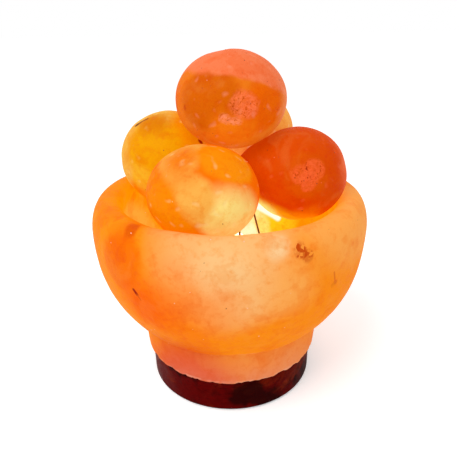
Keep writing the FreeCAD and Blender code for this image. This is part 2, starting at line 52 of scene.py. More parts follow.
# Browner streaks: worn stain, and a painted sheen of the lacquer
wood_worn_and_sheen = "#7A2406"
wood_grain_width = 0.0045
wood_pore_width = 0.0007
pool_size = 0.018
wear_and_sheen_size = 0.030
lacquer_wave = 0.011
wood_gloss = 0.015


def linear(hex_colour):
    """An sRGB hex colour as the linear RGBA that Blender's sockets take."""
    parts = [int(hex_colour[i:i + 2], 16) / 255 for i in (1, 3, 5)]
    return [c / 12.92 if c <= 0.04045 else ((c + 0.055) / 1.055) ** 2.4 for c in parts] + [1.0]


def connect(tree, node, inputs):
    """Gives a node's inputs, by name or number, a value each or the socket to link from."""
    for key, value in inputs.items():
        if isinstance(value, bpy.types.NodeSocket):
            tree.links.new(value, node.inputs[key])
        else:
            node.inputs[key].default_value = value


def add_node(tree, kind, settings=None, inputs=None):
    """Adds a node with its settings and its inputs, and returns its outputs."""
    node = tree.nodes.new(kind)
    for name, value in (settings or {}).items():
        setattr(node, name, value)
    connect(tree, node, inputs or {})
    return node.outputs


def new_finish(name):
    """A fresh material, its node tree, its Principled shader and its Object coordinates."""
    material = bpy.data.materials.new(name)
    material.use_nodes = True
    tree = material.node_tree
    place = add_node(tree, "ShaderNodeTexCoord")["Object"]
    return material, tree, tree.nodes["Principled BSDF"], place


def new_piece(name, mesh, body, slot, *nodes):
    """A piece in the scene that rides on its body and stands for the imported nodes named."""
    piece = bpy.data.objects.new(name, mesh)
    bpy.context.scene.collection.objects.link(piece)
    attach(piece, body)
    if nodes:
        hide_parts(*nodes)
    return piece


def joined(node, name, body, slot, material, crease=32):
    """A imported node's own shape as a piece: its loose triangles joined and shaded smooth."""
    mesh = bpy.data.meshes.new(name)
    shape = bmesh.new()
    shape.from_mesh(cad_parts[node].data)
    bmesh.ops.remove_doubles(shape, verts=shape.verts, dist=2e-6)
    shape.to_mesh(mesh)
    shape.free()
    mesh.materials.clear()
    mesh.materials.append(material)
    mesh.shade_smooth()
    mesh.set_sharp_from_angle(angle=math.radians(crease))
    return new_piece(name, mesh, body, slot, node)


def stained_hardwood():
    """Stained and rubbed hardwood: red, with near-black pools and browner streaks that are
    worn stain and a painted sheen of the lacquer.
    """
    material, tree, shader, place = new_finish("stained_hardwood")
    along = add_node(tree, "ShaderNodeMapping", {}, {
        "Vector": place, "Rotation": (0.1, 0.05, 0.5), "Scale": (0.16, 1, 1)})["Vector"]
    growth = add_node(tree, "ShaderNodeTexNoise", {}, {
        "Vector": along, "Scale": 0.4 / wood_grain_width, "Detail": 6.0, "Roughness": 0.62,
        "Distortion": 1.2})["Fac"]
    pores = add_node(tree, "ShaderNodeTexNoise", {}, {
        "Vector": along, "Scale": 0.6 / wood_pore_width, "Detail": 3.0, "Roughness": 0.7})["Fac"]
    pools = add_node(tree, "ShaderNodeTexNoise", {}, {
        "Vector": place, "Scale": 1 / pool_size, "Detail": 3.0})["Fac"]
    # Browner streaks: worn stain, with a painted sheen of the lacquer in the same colour
    wear_and_sheen = add_node(tree, "ShaderNodeTexNoise", {}, {
        "Vector": place, "Scale": 1 / wear_and_sheen_size, "Detail": 5.0, "Distortion": 1.5})["Fac"]
    worn = add_node(tree, "ShaderNodeMapRange", {"interpolation_type": "SMOOTHSTEP"}, {
        "Value": wear_and_sheen, "From Min": 0.50, "From Max": 0.68, "To Max": 0.9})["Result"]
    streak = add_node(tree, "ShaderNodeMapRange", {"interpolation_type": "SMOOTHSTEP"}, {
        "Value": growth, "From Min": 0.38, "From Max": 0.64, "To Min": 0.25})["Result"]
    worn = add_node(tree, "ShaderNodeMath", {"operation": "MULTIPLY"}, {
        0: worn, 1: streak})["Value"]
    pool = add_node(tree, "ShaderNodeMapRange", {"interpolation_type": "SMOOTHSTEP"}, {
        "Value": pools, "From Min": 0.47, "From Max": 0.62, "To Max": 0.85})["Result"]
    pore = add_node(tree, "ShaderNodeMapRange", {}, {
        "Value": pores, "From Min": 0.52, "From Max": 0.68, "To Max": 0.5})["Result"]
    colour = linear(wood_stain)
    for share, shade in ((worn, wood_worn_and_sheen), (pool, wood_pooled), (pore, wood_pooled)):
        colour = add_node(tree, "ShaderNodeMix", {"data_type": "RGBA"}, {
            0: share, 6: colour, 7: linear(shade)})[2]
    wave = add_node(tree, "ShaderNodeTexNoise", {}, {
        "Vector": place, "Scale": 1 / lacquer_wave, "Detail": 2.0})["Fac"]
    skin = add_node(tree, "ShaderNodeBump", {}, {
        "Height": wave, "Strength": 0.5, "Distance": 0.0012})["Normal"]
    skin = add_node(tree, "ShaderNodeBump", {}, {
        "Height": pores, "Strength": 0.25, "Distance": 0.0003, "Normal": skin})["Normal"]
    dull = add_node(tree, "ShaderNodeMapRange", {}, {
        "Value": growth, "From Min": 0.3, "From Max": 0.7, "To Min": 0.26,
        "To Max": 0.42})["Result"]
    connect(tree, shader, {
        "Base Color": colour, "Roughness": dull, "Normal": skin, "Specular IOR Level": wood_gloss})
    return material


joined("wood_base", "turned_base", "base", "stained_wood", stained_hardwood())


# Felt pads. Three die-cut discs of pressed wool felt, let into the underside of the base so
# that the lamp doesn't scratch a table. The fibres lie every way and leave a dull, hairy face.
felt_grey = "#1F1C1B"
felt_fluff = "#3B3633"
fibre_size = 0.0007


def wool_felt():
    """Pressed wool felt: no gloss at all, and a nap of pale and dark fibres."""
    material, tree, shader, place = new_finish("wool_felt")
    fibres = add_node(tree, "ShaderNodeTexNoise", {}, {
        "Vector": place, "Scale": 1 / fibre_size, "Detail": 4.0, "Roughness": 0.8,
        "Distortion": 2.0})["Fac"]
    colour = add_node(tree, "ShaderNodeMix", {"data_type": "RGBA"}, {
        0: fibres, 6: linear(felt_grey), 7: linear(felt_fluff)})[2]
    nap = add_node(tree, "ShaderNodeBump", {}, {
        "Height": fibres, "Strength": 0.8, "Distance": 0.0004})["Normal"]
    connect(tree, shader, {
        "Base Color": colour, "Roughness": 0.95, "Normal": nap, "Sheen Weight": 0.3})
    return material


felt = wool_felt()
for number in (1, 2, 3):
    joined(f"foot_pad_{number}", f"felt_pad_{number}", "base", "pad_felt", felt)


# Screws and plugs. Zinc-plated pan-head screws go up through the base into nylon plugs set in
# holes in the salt, because salt itself takes no thread. The zinc is softly bright and cloudy,
# and the nylon is a waxy off-white.
zinc_bright = "#B9BBB6"
zinc_dull = "#8C8E8A"
nylon_white = "#D9D6CC"
nylon_bloom = "#C7C3B6"
flow_per_metre = 160.0
skin_per_metre = 2500.0


def plated_metal(name, bright, dull, roughness, blotch):
    """A plated or drawn metal: two tones in soft blotches of the size given, in metres."""
    material, tree, shader, place = new_finish(name)
    film = add_node(tree, "ShaderNodeTexNoise", {}, {
        "Vector": place, "Scale": 1 / blotch, "Detail": 4.0})["Fac"]
    colour = add_node(tree, "ShaderNodeMix", {"data_type": "RGBA"}, {
        0: film, 6: linear(bright), 7: linear(dull)})[2]
    rub = add_node(tree, "ShaderNodeMapRange", {}, {
        "Value": film, "From Min": 0.3, "From Max": 0.7,
        "To Min": roughness * 0.8, "To Max": roughness * 1.2})["Result"]
    fine = add_node(tree, "ShaderNodeTexNoise", {}, {
        "Vector": place, "Scale": 6 / blotch, "Detail": 2.0})["Fac"]
    skin = add_node(tree, "ShaderNodeBump", {}, {
        "Height": fine, "Strength": 0.15, "Distance": 0.0001})["Normal"]
    connect(tree, shader, {
        "Base Color": colour, "Metallic": 1.0, "Roughness": rub, "Normal": skin})
    return material


def moulded(name, colour, bloom, roughness):
    """A moulded plastic, pressed ceramic or glass: two near tones and a fine skin."""
    material, tree, shader, place = new_finish(name)
    flow = add_node(tree, "ShaderNodeTexNoise", {}, {
        "Vector": place, "Scale": flow_per_metre, "Detail": 3.0})["Fac"]
    tint = add_node(tree, "ShaderNodeMix", {"data_type": "RGBA"}, {
        0: flow, 6: linear(colour), 7: linear(bloom)})[2]
    spark = add_node(tree, "ShaderNodeTexNoise", {}, {
        "Vector": place, "Scale": skin_per_metre, "Detail": 2.0})["Fac"]
    skin = add_node(tree, "ShaderNodeBump", {}, {
        "Height": spark, "Strength": 0.2, "Distance": 0.0001})["Normal"]
    connect(tree, shader, {"Base Color": tint, "Roughness": roughness, "Normal": skin})
    return material


zinc = plated_metal("zinc_plated_steel", zinc_bright, zinc_dull, 0.38, 0.003)
nylon = moulded("moulded_nylon", nylon_white, nylon_bloom, 0.5)
for number in (1, 2, 3):
    joined(f"base_screw_{number}", f"pan_head_screw_{number}", "base", "screw_steel", zinc)
    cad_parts[f"salt_plug_{number}"].material_slots[0].material = nylon


# Salt bowl. A block of rock salt sawn, turned and sanded to a bowl with a thick round rim and a
# foot. Salt is a mass of clouded crystals, pink to orange with iron, so the lamp inside shows
# through in soft patches, rusty inclusions stay dark, and every sharp edge has crumbled pale. The
# lamp's light is painted into the salt's colour among its real stain patches, with a painted
# highlight on the rim and painted light on the inner wall.
hole_radius = 0.0200
foot_bottom = (0.0550, 0.0220)
foot_middle = (0.0558, 0.0339)
foot_top = (0.0558, 0.0450)
foot_corner = 0.0009
step = (0.0584, 0.0453)
side_handles = (0.0710, 0.0579), (0.0825, 0.0731)
belly = (0.0825, 0.1065)
rim_handles = (0.0825, 0.1178), (0.0784, 0.1248)
crest = (0.0718, 0.1248)
round_handles = (0.0674, 0.1248), (0.0638, 0.1212)
rim_inside = (0.0638, 0.1168)
wall_handles = (0.0684, 0.0932), (0.0620, 0.0689)
wall_foot = (0.0464, 0.0506)
floor_handles = (0.0447, 0.0489), (0.0424, 0.0480)
floor_edge = (0.0400, 0.0480)
bowl_spacing = 0.0014
bowl_turns = 330

bore_clear, foot_clear = 0.021, 0.0221
hollows_per_metre, dents_per_metre = 32, 110
carving_depth = 0.0007
crumble_depth = 0.0011
edge_from, edge_reach = 0.050, 0.0026
lip_from, lip_reach = 0.056, 0.0014
inner_blend = 0.010
bulb_heart = (0, 0, 0.074)

salt_depth = "#F8CC84"
salt_milk = "#FFB45A"
salt_rust = "#C84A0A"
# Painted shade in the pits of torn patches
salt_pit_shade = "#B4540C"
# Painted light from the bulb, on the salt nearest to it
salt_bulb_light = "#FFE08C"
salt_gloss = 0.02
skin_share = 0.45
glow_share = 0.52
cavity_glow = 0.7
# How far from the bulb the painted light reaches, from its edge to its full strength
bulb_light_from, bulb_light_to = 0.060, 0.034
zones_per_metre = 34.0
clouds_per_metre = 75.0
mottle_per_metre = 260.0
rust_per_metre = 620.0
crumple_per_metre = 420.0
grit_per_metre = 900.0
drift_size = 0.028
drift_reach = 0.009
ripple_size = 0.007
ripple_reach = 0.0026
mean_drift = (drift_reach + ripple_reach) / 2
crack_waver = 0.25

bowl_ground = "#FF8F0D"
# Patches of the lit bowl's colour: real stain patches, and painted light from the bulb among them
bowl_stains_and_light = [
    ((-1.8, -52.6, 107.4), 38.9, 0.20, "#FBB972"),
    ((-13.9, -44.0, 95.3), 37.6, 0.22, "#FC7900"),
    ((-34.8, -64.3, 16.5), 38.7, 0.42, "#E65100"),
    ((49.9, -30.6, 137.0), 44.9, 0.20, "#FFA74C"),
    ((5.1, -13.1, 9.0), 45.0, 0.47, "#DE8A78"),
    ((-45.5, -48.0, 104.9), 21.5, 0.08, "#F67300"),
    ((40.6, -99.2, 95.7), 26.9, 0.34, "#FFB058"),
    ((-50.9, -77.2, 80.0), 17.9, 0.70, "#F85600"),
    ((-4.9, -93.0, 114.6), 15.2, 0.64, "#F7C78A"),
    ((-50.2, -57.7, 123.6), 4.6, 0.35, "#E66400"),
    # painted highlight along the front of the rim's outer shoulder
    ((22.0, -75.0, 120.6), 5.5, 0.60, "#FAC98F"),
    ((30.0, 70.0, 90.0), 36.0, 0.40, "#FDB062"),
    ((-55.0, 50.0, 85.0), 30.0, 0.50, "#F97408"),
]
cavity_ground = "#FB9000"
# Painted light from the bulb on the inner wall, yellow to almost white where it is nearest
cavity_stains_and_light = [
    ((7.3, 60.5, 72.0), 36.0, 0.20, "#FBE696"),
    ((-57.1, 4.4, 77.6), 34.3, 0.15, "#F6A037"),
    ((33.7, 45.3, 82.7), 14.0, 0.40, "#F9C116"),
    ((9.7, 58.6, 69.0), 12.0, 0.30, "#F0F2C5"),
    ((26.0, 58.0, 77.0), 6.0, 0.30, "#FDDA6F"),
]
bowl_rust = [
    ((33.5, -72.8, 117.5), 3.6), ((37.4, -72.2, 114.2), 3.0), ((54.0, -61.3, 93.3), 2.2)]
bowl_cracks = [
    ((-49.2, -64.9, 92.6), (-47.9, -65.7, 90.4), 1.0, "#9A1400"),
    ((-47.9, -65.7, 90.4), (-46.0, -66.3, 87.0), 0.35, "#DC5A04"),
    ((52.8, -62.4, 100.0), (54.2, -61.3, 93.3), 0.6, "#E8741C"),
    # a crack on the far inner wall, painted near white with the bulb's light
    ((20.5, 61.2, 90.5), (35.5, 52.3, 84.0), 2.3, "#FFFFF0"),
]
bowl_chip = "#FFC8A8"
bowl_specks = 1300.0


def within(tree, place, centre, reach, softness):
    """1 inside a soft-edged ball of the reach given, in millimetres, and 0 outside it."""
    away = add_node(tree, "ShaderNodeVectorMath", {"operation": "DISTANCE"}, {
        0: place, 1: [c / 1000 + mean_drift for c in centre]})["Value"]
    return add_node(tree, "ShaderNodeMapRange", {"interpolation_type": "SMOOTHSTEP"}, {
        "Value": away, "From Min": reach / 1000 * (1 + softness),
        "From Max": reach / 1000 * (1 - softness)})["Result"]


def along_crack(tree, place, start, end, width):
    """1 along a straight crack of the half width given, in millimetres, and 0 beside it."""
    start = Vector([c / 1000 + mean_drift for c in start])
    run = Vector([c / 1000 + mean_drift for c in end]) - start
    off = add_node(tree, "ShaderNodeVectorMath", {"operation": "SUBTRACT"}, {
        0: place, 1: start})["Vector"]
    along = add_node(tree, "ShaderNodeVectorMath", {"operation": "DOT_PRODUCT"}, {
        0: off, 1: run / run.length_squared})["Value"]
    along = add_node(tree, "ShaderNodeClamp", {}, {"Value": along})["Result"]
    nearest = add_node(tree, "ShaderNodeVectorMath", {"operation": "SCALE"}, {
        0: run, "Scale": along})["Vector"]
    away = add_node(tree, "ShaderNodeVectorMath", {"operation": "DISTANCE"}, {
        0: off, 1: nearest})["Value"]
    return add_node(tree, "ShaderNodeMapRange", {"interpolation_type": "SMOOTHSTEP"}, {
        "Value": away, "From Min": width / 1000 * 1.5, "From Max": width / 1000 * 0.5})["Result"]


def stained_and_lit(tree, place, ground, stains_and_light):
    """The salt's colour as lit: a ground colour with soft-edged patches laid on in order, which are
    real stain marks and painted light alike.
    """
    colour = linear(ground)
    for centre, reach, softness, shade in stains_and_light:
        colour = add_node(tree, "ShaderNodeMix", {"data_type": "RGBA"}, {
            0: within(tree, place, centre, reach, softness), 6: colour, 7: linear(shade)})[2]
    return colour


def rock_salt(name, ground, stains_and_light, chip, rust=(), cracks=(), torn=(), cavity=None):
    """Ground rock salt, lit from inside. What it gives back of the room's light is its Base
    Color, and the lamp's light that comes through is its emission, both in the colours of its
    patches: real stain marks, and painted light from the bulb, painted highlights and painted
    reflections, so the Base Color carries painted light too. Sanding has left it almost without
    gloss."""
    material, tree, shader, place = new_finish(name)
    drift = add_node(tree, "ShaderNodeTexNoise", {}, {
        "Vector": place, "Scale": 1 / drift_size, "Detail": 2.0})["Color"]
    ripple = add_node(tree, "ShaderNodeTexNoise", {}, {
        "Vector": place, "Scale": 1 / ripple_size, "Detail": 5.0, "Roughness": 0.6})["Color"]
    adrift = add_node(tree, "ShaderNodeVectorMath", {"operation": "MULTIPLY_ADD"}, {
        0: drift, 1: (drift_reach,) * 3, 2: place})["Vector"]
    adrift = add_node(tree, "ShaderNodeVectorMath", {"operation": "MULTIPLY_ADD"}, {
        0: ripple, 1: (ripple_reach,) * 3, 2: adrift})["Vector"]
    steady = add_node(tree, "ShaderNodeVectorMath", {"operation": "ADD"}, {
        0: place, 1: (mean_drift,) * 3})["Vector"]
    steady = add_node(tree, "ShaderNodeMix", {"data_type": "VECTOR"}, {
        0: crack_waver, 4: steady, 5: adrift})[1]
    colour = stained_and_lit(tree, adrift, ground, stains_and_light)
    if cavity:
        inside = add_node(tree, "ShaderNodeAttribute", {"attribute_name": "inside"})["Fac"]
        colour = add_node(tree, "ShaderNodeMix", {"data_type": "RGBA"}, {
            0: inside, 6: colour, 7: stained_and_lit(tree, adrift, *cavity)})[2]

    # Painted light from the bulb: near it the salt's colour is painted a pale yellow, almost
    # white, in its Base Color as well as in its emission
    to_bulb = add_node(tree, "ShaderNodeVectorMath", {"operation": "DISTANCE"}, {
        0: place, 1: bulb_heart})["Value"]
    bulb_lit = add_node(tree, "ShaderNodeMapRange", {"interpolation_type": "SMOOTHSTEP"}, {
        "Value": to_bulb, "From Min": bulb_light_from, "From Max": bulb_light_to})["Result"]
    colour = add_node(tree, "ShaderNodeMix", {"data_type": "RGBA"}, {
        0: bulb_lit, 6: colour, 7: linear(salt_bulb_light)})[2]

    # Crystals grown at different times: faint zones with clean edges, then a fine clouding
    zones = add_node(tree, "ShaderNodeTexNoise", {}, {
        "Vector": adrift, "Scale": zones_per_metre, "Detail": 4.0, "Roughness": 0.5,
        "Distortion": 0.8})["Fac"]
    clouds = add_node(tree, "ShaderNodeTexNoise", {}, {
        "Vector": adrift, "Scale": clouds_per_metre, "Detail": 6.0, "Roughness": 0.62})["Fac"]
    mottle = add_node(tree, "ShaderNodeTexNoise", {}, {
        "Vector": place, "Scale": mottle_per_metre, "Detail": 5.0, "Roughness": 0.7})["Fac"]
    later = add_node(tree, "ShaderNodeMapRange", {"interpolation_type": "SMOOTHSTEP"}, {
        "Value": zones, "From Min": 0.43, "From Max": 0.40, "To Max": 0.30})["Result"]
    milky = add_node(tree, "ShaderNodeMapRange", {"interpolation_type": "SMOOTHSTEP"}, {
        "Value": zones, "From Min": 0.55, "From Max": 0.64, "To Max": 0.08})["Result"]
    deep = add_node(tree, "ShaderNodeMapRange", {"interpolation_type": "SMOOTHSTEP"}, {
        "Value": clouds, "From Min": 0.48, "From Max": 0.40, "To Max": 0.30})["Result"]
    tone = add_node(tree, "ShaderNodeMapRange", {}, {
        "Value": mottle, "From Min": 0.50, "From Max": 0.30, "To Max": 0.5})["Result"]
    for share, blend, shade in ((later, "MULTIPLY", salt_depth), (milky, "MIX", salt_milk),
                                (deep, "MULTIPLY", salt_depth), (tone, "MULTIPLY", salt_depth)):
        colour = add_node(tree, "ShaderNodeMix", {"data_type": "RGBA", "blend_type": blend}, {
            0: share, 6: colour, 7: linear(shade)})[2]

    # Rusty inclusions, nests of small dark crystals with bright ones between them, and cracks
    for centre, reach in rust:
        nest = within(tree, adrift, centre, reach, 0.3)
        grains = add_node(tree, "ShaderNodeTexVoronoi", {"feature": "F1"}, {
            "Vector": adrift, "Scale": rust_per_metre})["Color"]
        dark = add_node(tree, "ShaderNodeMapRange", {}, {
            "Value": grains, "From Min": 0.2, "From Max": 0.8, "To Min": 0.1,
            "To Max": 1.0})["Result"]
        nest = add_node(tree, "ShaderNodeMath", {"operation": "MULTIPLY"}, {
            0: nest, 1: dark})["Value"]
        colour = add_node(tree, "ShaderNodeMix", {"data_type": "RGBA"}, {
            0: nest, 6: colour, 7: linear(salt_rust)})[2]
    for start, end, width, shade in cracks:
        colour = add_node(tree, "ShaderNodeMix", {"data_type": "RGBA"}, {
            0: along_crack(tree, steady, start, end, width), 6: colour, 7: linear(shade)})[2]

    # Sanded skin with grains of about 1 mm, and patches torn to pale, crumpled, pitted crystal.
    # Their ridges are paler crystal with a painted glint, and their pits are painted darker as
    # shade
    grit = add_node(tree, "ShaderNodeTexNoise", {}, {
        "Vector": place, "Scale": grit_per_metre, "Detail": 3.0, "Roughness": 0.6})["Fac"]
    skin = add_node(tree, "ShaderNodeBump", {}, {
        "Height": grit, "Strength": 0.35, "Distance": 0.0003})["Normal"]
    skin = add_node(tree, "ShaderNodeBump", {}, {
        "Height": mottle, "Strength": 0.5, "Distance": 0.0010, "Normal": skin})["Normal"]
    for centre, reach, shade in torn:
        bare = within(tree, adrift, centre, reach, 0.25)
        crumple = add_node(tree, "ShaderNodeTexNoise", {}, {
            "Vector": adrift, "Scale": crumple_per_metre, "Detail": 4.0, "Roughness": 0.6,
            "Distortion": 1.6})["Fac"]
        # Paler ridges: crumbled crystal, and a painted glint of light on them
        ridge_pale_and_glint = add_node(tree, "ShaderNodeMapRange", {}, {
            "Value": crumple, "From Min": 0.36, "From Max": 0.62, "To Min": 0.15,
            "To Max": 1.0})["Result"]
        ridge_pale_and_glint = add_node(tree, "ShaderNodeMath", {"operation": "MULTIPLY"}, {
            0: bare, 1: ridge_pale_and_glint})["Value"]
        colour = add_node(tree, "ShaderNodeMix", {"data_type": "RGBA"}, {
            0: ridge_pale_and_glint, 6: colour, 7: linear(shade)})[2]
        # Painted shade: darker in the pits of the torn patches
        pit_shade = add_node(tree, "ShaderNodeMapRange", {}, {
            "Value": crumple, "From Min": 0.42, "From Max": 0.34, "To Max": 0.65})["Result"]
        pit_shade = add_node(tree, "ShaderNodeMath", {"operation": "MULTIPLY"}, {
            0: bare, 1: pit_shade})["Value"]
        colour = add_node(tree, "ShaderNodeMix", {"data_type": "RGBA", "blend_type": "MULTIPLY"}, {
            0: pit_shade, 6: colour, 7: linear(salt_pit_shade)})[2]
    crumbled = add_node(tree, "ShaderNodeAttribute", {"attribute_name": "crumbled"})["Fac"]
    colour = add_node(tree, "ShaderNodeMix", {"data_type": "RGBA"}, {
        0: crumbled, 6: colour, 7: linear(chip)})[2]

    # The room's light and the lamp's, which is stronger inside the bowl
    given_back = add_node(tree, "ShaderNodeVectorMath", {"operation": "SCALE"}, {
        0: colour, "Scale": skin_share})["Vector"]
    if cavity:
        lit_side = add_node(tree, "ShaderNodeMath", {"operation": "MULTIPLY"}, {
            0: inside, 1: cavity_glow})["Value"]
        bulb_lit = add_node(tree, "ShaderNodeMath", {"operation": "MAXIMUM"}, {
            0: bulb_lit, 1: lit_side})["Value"]
    through = add_node(tree, "ShaderNodeMapRange", {}, {
        "Value": bulb_lit, "To Min": glow_share, "To Max": 1.0})["Result"]
    come_through = add_node(tree, "ShaderNodeVectorMath", {"operation": "SCALE"}, {
        0: colour, "Scale": through})["Vector"]
    sanded = add_node(tree, "ShaderNodeMapRange", {}, {
        "Value": mottle, "From Min": 0.3, "From Max": 0.7, "To Min": 0.42,
        "To Max": 0.66})["Result"]
    connect(tree, shader, {
        "Base Color": given_back, "Emission Color": come_through, "Emission Strength": 1.0,
        "Roughness": sanded, "IOR": 1.54, "Specular IOR Level": salt_gloss, "Normal": skin})
    return material


def bend(start, handles, end, steps=40):
    """Points on a smooth curve from start, past its two handles, up to but without its end."""
    shares = [i / steps for i in range(steps)]
    weights = [((1 - t) ** 3, 3 * (1 - t) ** 2 * t, 3 * (1 - t) * t * t, t ** 3) for t in shares]
    corners = (start, *handles, end)
    return [
        tuple(sum(w * p[axis] for w, p in zip(row, corners)) for axis in (0, 1)) for row in weights]


def evened(points, spacing):
    """A closed outline with its points respaced evenly along its length."""
    runs = list(zip(points, points[1:] + points[:1]))
    lengths = [math.dist(a, b) for a, b in runs]
    count = round(sum(lengths) / spacing)
    pace, result, travelled, run = sum(lengths) / count, [], 0.0, 0
    for i in range(count):
        while travelled + lengths[run] < i * pace:
            travelled += lengths[run]
            run += 1
        share = (i * pace - travelled) / lengths[run]
        a, b = runs[run]
        result.append((a[0] + (b[0] - a[0]) * share, a[1] + (b[1] - a[1]) * share))
    return result


def crumbling(spot, height, radius):
    """How far the salt has crumbled at a place, 0 to 1: only along the foot's sharp edges."""
    edge = max(0.0, 1 - abs(height - foot_bottom[1]) / edge_reach) * (radius > edge_from)
    lip = max(0.0, 1 - abs(height - step[1]) / lip_reach) * (radius > lip_from) * 0.6
    torn = noise.noise(spot * 210) * 0.7 + noise.noise(spot * 520) * 0.5
    return max(edge, lip) * min(1.0, max(0.0, 0.5 + torn * 1.8))


def salt_bowl_mesh():
    """The bowl's outline turned about its axis, then worn inwards where the real one is."""
    foot_side = [2 * m - (a + b) / 2 for m, a, b in zip(foot_middle, foot_bottom, foot_top)]
    outline = [(hole_radius, foot_bottom[1]), (foot_bottom[0] - foot_corner, foot_bottom[1])]
    foot_start = (foot_bottom[0], foot_bottom[1] + foot_corner)
    outline += bend(foot_start, (foot_side, foot_side), foot_top)
    outline += [foot_top]
    outline += bend(step, side_handles, belly)
    outline += bend(belly, rim_handles, crest)
    outline += bend(crest, round_handles, rim_inside)
    outline += bend(rim_inside, wall_handles, wall_foot)
    outline += bend(wall_foot, floor_handles, floor_edge)
    outline += [floor_edge, (hole_radius, floor_edge[1])]
    ring = evened(outline, bowl_spacing)
    count = len(ring)
    top = max(range(count), key=lambda j: ring[j][1] - abs(ring[j][0] - crest[0]))
    places, crumbs, insides = [], [], []
    for i in range(bowl_turns):
        angle = 2 * math.pi * i / bowl_turns
        across = Vector((math.cos(angle), math.sin(angle), 0))
        for j, (radius, height) in enumerate(ring):
            before, after = ring[j - 1], ring[(j + 1) % count]
            along = Vector((after[0] - before[0], after[1] - before[1])).normalized()
            outward = across * along.y - Vector((0, 0, 1)) * along.x
            spot = across * radius + Vector((0, 0, height))
            hollow = max(0.0, noise.noise(spot * hollows_per_metre) + 0.15)
            hollow += 0.3 * max(0.0, noise.noise(spot * dents_per_metre))
            free = 0.0 if radius < bore_clear or height < foot_clear else 1.0
            crumb = crumbling(spot, height, radius)
            places.append(spot - outward * (carving_depth * hollow * free + crumble_depth * crumb))
            crumbs.append(min(1.0, crumb * 0.9))
            on_inner_face = j > top and height > floor_edge[1] - 0.0001
            blend = min(1.0, (j - top) * bowl_spacing / inner_blend)
            insides.append(blend if on_inner_face else 0.0)
    faces = []
    for i in range(bowl_turns):
        a, b = i * count, (i + 1) % bowl_turns * count
        faces += [(a + j, b + j, b + (j + 1) % count, a + (j + 1) % count) for j in range(count)]
    mesh = bpy.data.meshes.new("carved_bowl")
    mesh.from_pydata(places, [], faces)
    mesh.attributes.new("crumbled", "FLOAT", "POINT").data.foreach_set("value", crumbs)
    mesh.attributes.new("inside", "FLOAT", "POINT").data.foreach_set("value", insides)
    mesh.shade_smooth()
    return mesh


bowl_mesh = salt_bowl_mesh()
bowl_mesh.materials.append(rock_salt(
    "bowl_rock_salt", bowl_ground, bowl_stains_and_light, bowl_chip, bowl_rust, bowl_cracks,
    cavity=(cavity_ground, cavity_stains_and_light)))
carved_bowl = new_piece("carved_bowl", bowl_mesh, "base", "salt_bowl", "salt_bowl")


# Lampholder. A black moulded sleeve and cap, screwed together round a pressed ceramic core that
# carries the brass contacts and the rolled screw shell. It is pushed up through the base. The
# plastic has a satin skin, the ceramic is chalky, and the brass is bright with softer blotches.
black_plastic = moulded("moulded_black_plastic", "#141413", "#1E1E1D", 0.42)
ceramic = moulded("pressed_steatite", "#DAD4C6", "#C9C2B2", 0.55)
brass = plated_metal("stamped_brass", "#D9B25E", "#B98E3C", 0.28, 0.004)
rolled_crease = 60
for part in ("holder_sleeve", "holder_cap"):
    joined(part, f"black_{part}", "holder", "holder_plastic", black_plastic)
joined("screw_shell", "rolled_screw_shell", "holder", "shell_brass", brass, rolled_crease)
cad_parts["holder_core"].material_slots[0].material = ceramic
for part in ("centre_contact", "side_contact", "terminal_screw_1", "terminal_screw_2"):
    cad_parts[part].material_slots[0].material = brass


# Clips. A pressed steel collar round the sleeve has lugs in which two bent spring wires swing.
# They press against the wall of the hole and let go when they are squeezed.
spring_steel = plated_metal("plated_spring_steel", "#C4C4C2", "#9A9A98", 0.25, 0.002)
joined("clip_collar", "pressed_collar", "holder", "clip_steel", spring_steel)
for side in ("right", "left"):
    joined(
        f"clip_{side}", f"spring_clip_{side}", f"clip_{side}", "clip_steel", spring_steel,
        rolled_crease)


# Bulb. A small frosted bulb with a nickel-plated screw cap, a black glass insulator and a
# soldered tip. Lit, its frosting glows white-hot at the middle and a little warmer at the neck.
frost_hot = "#FFF6DA"
frost_warm = "#FFD68A"
bulb_glow = 3.0
filament_glow = 4.0
hot_glass, warm_glass = 0.014, 0.030
etch_per_metre = 1800.0
drawn_per_metre = 900.0


def lit_frosted_glass():
    """Frosted glass with the lamp lit: it glows itself, and its etched skin is a fine grain."""
    material, tree, shader, place = new_finish("lit_frosted_glass")
    away = add_node(tree, "ShaderNodeVectorMath", {"operation": "DISTANCE"}, {
        0: place, 1: bulb_heart})["Value"]
    cool = add_node(tree, "ShaderNodeMapRange", {"interpolation_type": "SMOOTHSTEP"}, {
        "Value": away, "From Min": hot_glass, "From Max": warm_glass})["Result"]
    etch = add_node(tree, "ShaderNodeTexNoise", {}, {
        "Vector": place, "Scale": etch_per_metre, "Detail": 3.0})["Fac"]
    grey = add_node(tree, "ShaderNodeMapRange", {}, {
        "Value": etch, "To Min": 0.9, "To Max": 1.05})["Result"]
    light = add_node(tree, "ShaderNodeMix", {"data_type": "RGBA"}, {
        0: cool, 6: linear(frost_hot), 7: linear(frost_warm)})[2]
    light = add_node(tree, "ShaderNodeVectorMath", {"operation": "SCALE"}, {
        0: light, "Scale": grey})["Vector"]
    frost = add_node(tree, "ShaderNodeBump", {}, {
        "Height": etch, "Strength": 0.3, "Distance": 0.0001})["Normal"]
    connect(tree, shader, {
        "Base Color": light, "Emission Color": light, "Emission Strength": bulb_glow,
        "Roughness": 0.5, "IOR": 1.5, "Normal": frost})
    return material


